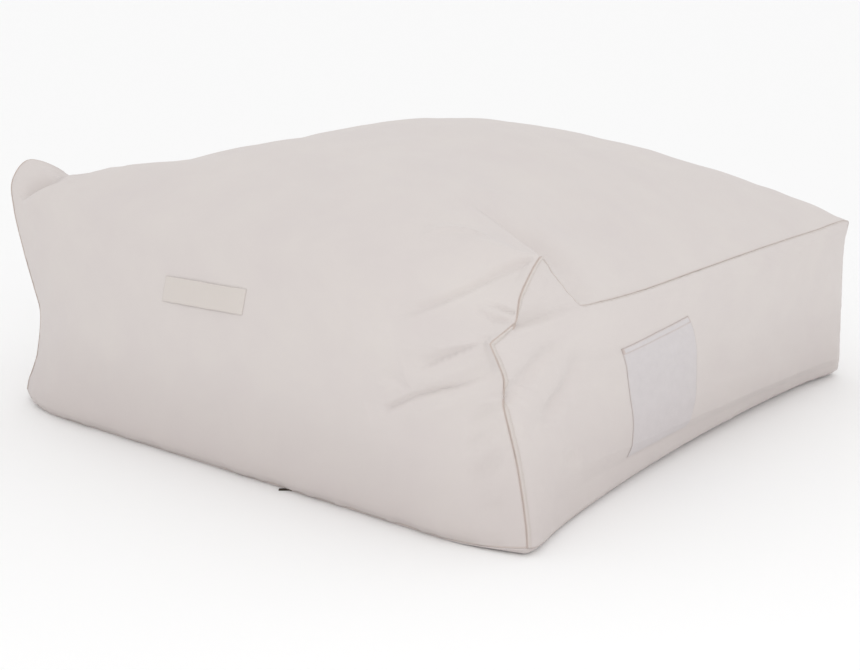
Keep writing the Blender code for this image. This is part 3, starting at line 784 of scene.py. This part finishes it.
def canvas(cloth):
    """Plain woven cotton: crossing threads, slightly uneven colour, and a soft sheen."""
    made, tree, shader = new_material(cloth.name)
    place = add_attribute(tree, "cloth").outputs["Vector"]
    along = add_node(tree, "SeparateXYZ", {"Vector": place})
    threads = []
    for axis in ("X", "Y"):
        turn = add_math(tree, "MULTIPLY", along.outputs[axis], math.tau / cloth.weave)
        threads.append(add_math(tree, "SINE", turn))
    weave = add_math(tree, "MULTIPLY", *threads)
    slub = add_node(tree, "TexNoise", {"Vector": place, "Scale": 260.0, "Detail": 3.0})
    relief = add_math(tree, "ADD", add_math(tree, "MULTIPLY", weave, 0.5), slub.outputs["Fac"])
    bump = add_node(tree, "Bump", {"Strength": 0.25, "Distance": 0.0004, "Height": relief})
    cloud = add_node(
        tree, "TexNoise", {"Vector": place, "Scale": cloth.mottle, "Detail": 5.0, "Roughness": 0.62}
    )
    tone = add_math(tree, "ADD", add_math(tree, "MULTIPLY", weave, 0.10), cloud.outputs["Fac"])
    mottled = add_mix(tree, tone, (*cloth.dark, 1.0), (*cloth.light, 1.0))
    # The seam's dark line: part seam and stitch colour, part painted shade of the seam ditch
    near = add_math(tree, "MULTIPLY", add_attribute(tree, "seam").outputs["Fac"], SEAM_LINE_AND_DITCH_SHADE_SHARE)
    with_seam_line_and_shade = add_mix(tree, near, mottled, (*SEAM_LINE_AND_DITCH_SHADE_COLOUR, 1.0))
    # Painted shade: the colour darkens towards the floor, up to the reach above
    spot = add_node(tree, "SeparateXYZ", {"Vector": add_node(tree, "NewGeometry", {}).outputs["Position"]})
    low = add_node(tree, "MapRange", {"Value": spot.outputs["Z"], "From Min": 0.0, "From Max": PAINTED_FLOOR_SHADE_REACH})
    fill(tree, low, {"To Min": PAINTED_FLOOR_SHADE_SHARE, "To Max": 0.0})
    low.interpolation_type = "SMOOTHSTEP"
    colour = add_mix(tree, low.outputs["Result"], with_seam_line_and_shade, (*PAINTED_FLOOR_SHADE_COLOUR, 1.0))
    fill(tree, shader, {"Base Color": colour, "Normal": bump.outputs["Normal"], "Roughness": 0.88})
    fill(tree, shader, {"Sheen Weight": 0.15, "Sheen Roughness": 0.5, "Specular IOR Level": 0.2})
    return made


def speckled(look):
    """A fine noise between two colours."""
    made, tree, shader = new_material(look.name)
    noise = add_node(tree, "TexNoise", {"Scale": look.scale})
    colour = add_mix(tree, noise.outputs["Fac"], (*look.dark, 1.0), (*look.light, 1.0))
    fill(tree, shader, {"Base Color": colour, **look.values})
    return made

# ---- Pieces


def seam_roll(grid, normals, from_edge, run, height=PUCKER, pitch=PUCKER_PITCH):
    """Rolls the cloth in along a seam and puckers it a little beside it."""
    inward = SEAM_DITCH * bell(from_edge, SEAM_ROLL)
    sum_of_waves = np.zeros_like(run)
    for wave in PUCKER_WAVES:
        sum_of_waves += wave.size * np.sin(math.tau * run * wave.count / pitch + wave.start)
    fade = np.exp(-from_edge / PUCKER_REACH) * clamped(from_edge / SEAM_ROLL)
    return grid + normals * (height * sum_of_waves * fade - inward)[..., None]


def add_wrap(grid, depths, ends, finish):
    """The wrap with its filling: one soft form, closed at both ends just inside the end panels."""
    stations, around = grid.shape[:2]
    normals = outward_normals(grid, grid.reshape(-1, 3).mean(axis=0))
    place = place_on_cloth(grid)
    along, run = place[..., 0], place[..., 1]
    from_base = np.minimum(run, np.abs(run - run[:, SIDE_ROWS - 1 : SIDE_ROWS]))
    from_end = depths[:, None] * np.ones(around)
    shaped = seam_roll(grid, normals, from_end, run)
    shaped = seam_roll(shaped, normals, from_base, along, BASE_PUCKER, BASE_PUCKER_PITCH)
    shaped[:, SIDE_ROWS:] = grid[:, SIDE_ROWS:]
    shaped[..., 2] = np.maximum(shaped[..., 2], CLOTH + GAP)
    # Tint beside the end and base seams: dark seam colour and painted shade of the seam ditch
    tint = bell(np.minimum(from_end, from_base), SEAM_TINT) * np.where(grid[..., 0] < 0, LEFT_TINT, 1.0)
    points, seam, cloth = [shaped.reshape(-1, 3)], [tint.ravel()], [place.reshape(-1, 3)]
    faces = quads(stations, around, ring=True)
    first = stations * around
    for side, panel in ends.items():
        rows, columns = panel.shape[:2]
        inside = panel.copy()
        inset = CAP_INSET * smoothed(distance_from_edge(panel)[0] / CAP_REACH)
        inside[..., 0] -= side * (CLOTH + GAP + inset)
        front, top, back, base = ring_edges(shaped[-1] if side > 0 else shaped[0])
        inside[0], inside[:, -1], inside[-1], inside[:, 0] = front, top, back, base
        points.append(inside.reshape(-1, 3))
        cloth.append(place_on_cloth(inside).reshape(-1, 3))
        seam.append(np.ones(rows * columns))
        faces += cap_faces(rows, columns, first, CAP_STEP)
        first += rows * columns
    points, cloth, seam = np.concatenate(points), np.concatenate(cloth), np.concatenate(seam)
    return add_mesh("wrap", points, faces, finish, cloth, seam, weld=True)


def add_end_cloth(name, side, panel, finish):
    """A shaped panel closing one end, its edges rolled in at the seams."""
    from_edge, run = distance_from_edge(panel)
    normals = outward_normals(panel, np.array([0.0, 0.0, SEAT_HEIGHT / 2]))
    outer = seam_roll(panel, normals, from_edge, run)
    inner = panel - np.array([side * CLOTH, 0.0, 0.0])
    # Tint along the panel's edge: dark seam colour and painted shade of the seam ditch
    return two_sided(name, outer, inner, finish, seam=bell(from_edge, SEAM_TINT)), outer


def add_base_cloth(grid, finish):
    """The panel on the floor, from base seam to base seam under the wrap."""
    columns = list(range(SIDE_ROWS - 1, grid.shape[1], BASE_STEP)) + [0]
    top = grid[::BASE_STEP][:, columns] - np.array([0.0, 0.0, GAP])
    bottom = top - np.array([0.0, 0.0, CLOTH])
    bottom[..., 2] = np.where(bottom[..., 2] < ON_FLOOR, 0.0, bottom[..., 2])
    return two_sided("base_cloth", top, bottom, finish), bottom


def laid_on(target, starts, direction):
    """A grid of points moved one way onto a piece."""
    tree = BVHTree.FromObject(target, bpy.context.evaluated_depsgraph_get())
    nearest = np.zeros(starts.shape[:2])
    for i, j in np.ndindex(starts.shape[:2]):
        nearest[i, j] = tree.ray_cast(Vector(starts[i, j]), Vector(direction))[3] or 0.0
    return starts + np.array(direction) * nearest[..., None]


def walk_inward(tree, start, direction, side, length):
    """Points and normals met on an end panel, walking inward from its seam until a length is covered."""
    places, normals, gone = [start], [], 0.0
    for step in np.arange(1, WALK_STEPS) * WALK_STEP:
        above = start + direction * step
        above[0] = side
        place, normal = tree.ray_cast(Vector(above), Vector((-side, 0.0, 0.0)))[:2]
        if place is None:
            continue
        normal = np.array(normal) * (1 if normal.x * side > 0 else -1)
        normals += [normal] * (1 if normals else 2)
        gone += norm(np.array(place) - places[-1])
        places.append(np.array(place))
        if gone > length:
            break
    return np.array(places), np.array(normals)


def add_band(name, side, rows, surface, finish):
    """The folded seam allowance sewn down on the end panel, up the front, over the top and down the back."""
    edge = end_outline(side, rows)[:SIDE_ROWS]
    inward = np.cross(np.gradient(edge, axis=0), np.array([1.0, 0.0, 0.0]))
    inward /= norm(inward, axis=1, keepdims=True)
    cuts = np.arange(SIDE_ROWS) - FRONT_STEPS
    changes = [-FRONT_STEPS, BAND_NARROWS, BAND_AT_EAR, BAND_AT_SEAT]
    wide = np.interp(cuts, changes, [BAND_FRONT, BAND_FRONT, BAND_EAR, BAND_SEAT])
    high = np.interp(cuts, [BAND_AT_EAR, BAND_AT_SEAT], [BAND_HEIGHT, BAND_SEAT_HEIGHT])
    tree = BVHTree.FromPolygons(surface.reshape(-1, 3).tolist(), quads(*surface.shape[:2]))
    across = np.linspace(0.0, 1.0, BAND_CUTS)
    groove = GROOVE_DEPTH * bell(across - GROOVE_AT, GROOVE_WIDTH)
    crown = (1 - BAND_ROUND * (2 * across - 1) ** 6) * (1 - groove)
    outer, inner = np.zeros((SIDE_ROWS, BAND_CUTS, 3)), np.zeros((SIDE_ROWS, BAND_CUTS, 3))
    for i in range(SIDE_ROWS):
        walk, normals = walk_inward(tree, edge[i], inward[i], side, BAND_INSET + wide[i])
        run = run_length(walk)
        for j, share in enumerate(across):
            at = min(BAND_INSET + wide[i] * share, run[-1])
            place, normal = point_at(at, run, walk), point_at(at, run, normals)
            normal /= norm(normal)
            outer[i, j] = place + normal * (BAND_LIFT + high[i] * crown[j])
            inner[i, j] = place - normal * BAND_SINK
    # Tint at the band's two edges: dark seam colour and painted shade of the ditches beside it
    tint = BAND_TINT * np.maximum(1.0 - across / BAND_TINT_REACH, 0.0)
    tint += BAND_FAR_TINT * np.maximum(1.0 - (1.0 - across) / BAND_TINT_REACH, 0.0)
    return two_sided(name, outer, inner, finish, seam=tint + np.zeros((SIDE_ROWS, 1))), outer


def add_stitches(lines, finish):
    """A row of short raised threads along each line of points. A line comes with the side it is on."""
    points, faces = [], []
    for side, line in lines:
        run = run_length(line)
        up = np.array([side, 0.0, 0.0])
        for start in np.arange(STITCH_PITCH / 2, run[-1] - STITCH, STITCH_PITCH):
            a, b = point_at(start, run, line), point_at(start + STITCH, run, line)
            across = np.cross(b - a, up)
            across /= norm(across)
            for bead in THREAD_PROFILE:
                middle = a + (b - a) * bead.along + up * THREAD * (THREAD_REST + THREAD_RISE * bead.size)
                for turn in math.tau * np.arange(THREAD_SIDES) / THREAD_SIDES:
                    out = across * math.cos(turn) + up * math.sin(turn)
                    points.append(middle + out * THREAD / 2 * bead.size)
            first = len(points) - THREAD_SIDES * len(THREAD_PROFILE)
            faces += quads(len(THREAD_PROFILE), THREAD_SIDES, first=first, ring=True)
            faces.append(list(range(first, first + THREAD_SIDES))[::-1])
            faces.append(list(range(len(points) - THREAD_SIDES, len(points))))
    return add_mesh("seam_stitches", points, faces, finish)


def edge_share(inside, edge):
    """The share of its thickness that a sewn-on cloth has, at this distance inside its edge."""
    return edge.thin + (1 - edge.thin) * clamped(inside / edge.reach) ** 0.5


def cloth_shares(cuts):
    """Shares across and up a small cloth from its middle, cut into a grid."""
    return np.linspace(-0.5, 0.5, cuts[0])[:, None], np.linspace(-0.5, 0.5, cuts[1])[None, :]


def add_handle(wrap, finish):
    """A flat strap across the front, sewn down at its ends and a little slack between them."""
    across, up = cloth_shares(HANDLE_CUTS)
    x = HANDLE_X + across * HANDLE_WIDTH + 0 * up
    z = HANDLE_Z + up * HANDLE_HEIGHT + across * HANDLE_RISE
    starts = np.stack([x, np.full_like(x, -DEPTH), z], axis=-1)
    behind = laid_on(wrap, starts, (0.0, 1.0, 0.0))
    slack = HANDLE_SLACK * clamped(1 - (2 * across) ** 4) + 0 * up
    behind[..., 1] -= SEWN_GAP + slack
    inside = np.minimum(0.5 - np.abs(up), (0.5 - np.abs(across)) * HANDLE_WIDTH / HANDLE_HEIGHT)
    front = behind.copy()
    front[..., 1] -= HANDLE_THICKNESS * edge_share(inside, HANDLE_EDGE)
    return two_sided("strap", front, behind, finish), front


def add_pocket(panel, finish):
    """A patch pocket of finer cloth on the right-hand end, with a folded hem along its open top."""
    across, up = cloth_shares(POCKET_CUTS)
    bow = POCKET_LEFT_BOW + (across + 0.5) * (POCKET_BOW - POCKET_LEFT_BOW)
    y = POCKET_Y + across * POCKET_WIDTH - up * POCKET_SKEW + (1 - 4 * up**2) * bow
    z = POCKET_Z + up * POCKET_HEIGHT + across * (up + 0.5) * POCKET_TILT
    starts = np.stack([np.full_like(y, LENGTH), y, z], axis=-1)
    behind = laid_on(panel, starts, (-1.0, 0.0, 0.0)) + np.array([SEWN_GAP, 0.0, 0.0])
    hem_start = 0.5 - POCKET_HEM / POCKET_HEIGHT
    hem = clamped((up - hem_start) / HEM_BLEND + 0.5) + 0 * across
    thick = POCKET_THICKNESS + (HEM_THICKNESS - POCKET_THICKNESS) * hem
    inside = np.minimum(0.5 - np.abs(up), 0.5 - np.abs(across))
    front = behind.copy()
    front[..., 0] += thick * edge_share(inside, POCKET_EDGE)
    from_side = (0.5 - np.abs(across)) * POCKET_WIDTH + 0 * up
    from_top = (0.5 - up) * POCKET_HEIGHT + 0 * across
    from_rim = np.minimum(from_side, (up + 0.5) * POCKET_HEIGHT)
    tint = RIM_TINT * bell(from_rim, POCKET_LINE)
    for line in (0.0, POCKET_HEM):
        tint = np.maximum(tint, HEM_TINT * bell(from_top - line, POCKET_LINE))
    tint[(from_top < POCKET_HEM) & (from_side < TACK)] = TACK_TINT
    return two_sided("pocket", front, behind, finish, seam=tint), front


def add_block(work, middle, along, size):
    """A level block of metal, its length along a direction."""
    across, up = Vector((-along.y, along.x, 0.0)), Vector((0.0, 0.0, 1.0))
    for v in bmesh.ops.create_cube(work, size=1.0)["verts"]:
        x, y, z = v.co
        v.co = middle + along * x * size[0] + across * y * size[1] + up * z * size[2]


def add_zip_pull(grid, finish):
    """The slider, just inside the front edge of the base, with its pull lying on the floor."""
    station = np.abs(grid[:, 0, 0] - ZIP_X).argmin()
    place = Vector((ZIP_X, grid[station, 0, 1] + ZIP_INSIDE, GAP))
    out = Vector((math.cos(ZIP_TURN), math.sin(ZIP_TURN), 0.0))
    work = bmesh.new()
    add_block(work, place + Vector((0, 0, SLIDER[2] / 2)), Vector((1.0, 0.0, 0.0)), SLIDER)
    add_block(work, place + out * PULL[0] / 2 + Vector((0, 0, PULL[2] / 2)), out, PULL)
    bmesh.ops.bevel(
        work, geom=work.edges, offset=ZIP_BEVEL, segments=ZIP_BEVEL_STEPS, affect="EDGES", profile=0.5
    )
    return finished(work, bpy.data.meshes.new("zip_slider"), finish)

# ---- Studio


def add_camera():
    """The camera, looking down at the pouf."""
    data = bpy.data.cameras.new("camera")
    data.lens = CAMERA_LENS
    data.sensor_width = CAMERA_SENSOR
    camera = placed("camera", data)
    camera.location = CAMERA_AT
    camera.rotation_euler = (math.pi / 2 - CAMERA_PITCH, 0.0, CAMERA_AZIMUTH)
    bpy.context.scene.camera = camera


def add_floor():
    """A plain pale floor, wide enough to reach out of sight."""
    mesh = bpy.data.meshes.new("floor")
    corners = [(x * FLOOR_HALF, y * FLOOR_HALF, 0) for x, y in ((-1, -1), (1, -1), (1, 1), (-1, 1))]
    mesh.from_pydata(corners, [], [(0, 1, 2, 3)])
    made, tree, shader = new_material("studio_floor")
    fill(tree, shader, {"Base Color": (FLOOR_TONE, FLOOR_TONE, FLOOR_TONE, 1.0), "Roughness": 0.9})
    mesh.materials.append(made)
    floor = placed("floor", mesh)
    floor.location.z = -FLOOR_DROP


def add_key_light():
    """The one lamp, a soft panel."""
    data = bpy.data.lights.new("key", "AREA")
    data.shape = "RECTANGLE"
    data.size, data.size_y = KEY_SIZE
    data.energy = KEY_ENERGY
    light = placed("key", data)
    light.location = KEY_AT
    aim = Vector(KEY_AIM) - Vector(KEY_AT)
    light.rotation_euler = aim.to_track_quat("-Z", "Y").to_euler()


def add_studio():
    """The white room, its lamp and its floor."""
    world = bpy.data.worlds.new("studio")
    world.use_nodes = True
    background = world.node_tree.nodes["Background"]
    background.inputs["Color"].default_value = (1.0, 1.0, 1.0, 1.0)
    background.inputs["Strength"].default_value = WORLD_STRENGTH
    bpy.context.scene.world = world
    bpy.context.scene.view_settings.view_transform = "Standard"
    add_key_light()
    add_floor()


def main():
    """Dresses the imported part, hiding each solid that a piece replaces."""
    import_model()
    cotton = canvas(COTTON)
    band_cotton = canvas(BAND_COTTON)
    add_camera()
    add_studio()

    grid, depths = wrap_grid()
    left_panel = end_grid(-1, LEFT_SEAM)
    wrap = add_wrap(grid, depths, {1: end_grid(1, RIGHT_SEAM), -1: left_panel}, cotton)
    right_panel = end_grid(1, RIGHT_SEAM, END_FINER)
    right, right_outer = add_end_cloth("end_cloth_right", 1, right_panel, cotton)
    left, left_outer = add_end_cloth("end_cloth_left", -1, left_panel, cotton)
    base, base_under = add_base_cloth(grid, cotton)
    band_right, right_face = add_band("seam_band_right", 1, RIGHT_SEAM, right_outer, band_cotton)
    band_left, left_face = add_band("seam_band_left", -1, LEFT_SEAM, left_outer, band_cotton)
    strap, strap_front = add_handle(wrap, canvas(STRAP_COTTON))
    pocket, pocket_front = add_pocket(right, canvas(POCKET_COTTON))
    slider = add_zip_pull(grid, speckled(ZIP_METAL))
    rows = [(1, right_face[:, STITCH_CUT]), (-1, left_face[:, STITCH_CUT])]
    stitches = add_stitches(rows, speckled(COTTON_THREAD))

    for piece, node in (
        (wrap, "body"),
        (right, "end_panel_right"),
        (left, "end_panel_left"),
        (base, "base_panel"),
        (band_right, "seam_welt_right"),
        (band_left, "seam_welt_left"),
        (strap, "handle"),
        (pocket, "side_pocket"),
        (slider, "zip_pull"),
    ):
        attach(piece, "root")
        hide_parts(node)
    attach(stitches, "root")

    for piece, surface, held, rests in (
        (right, right_outer, "stretched", [wrap]),
        (left, left_outer, "stretched", [wrap]),
        (base, base_under, "laid", []),
        (strap, strap_front, "stretched", [wrap]),
        (pocket, pocket_front, "stretched", [right]),
    ):
        place = place_on_cloth(surface)
        flat = (float(place[..., 0].max()), float(place[..., 1].max()))
        area = min(grid_area(surface), flat[0] * flat[1])
    for band, face, panel in ((band_right, right_face, right), (band_left, left_face, left)):
        long = float(run_length(face[:, BAND_MIDDLE])[-1])
        flat = (STATED_BAND_WIDTH, long)
        grid_area(face)


main()
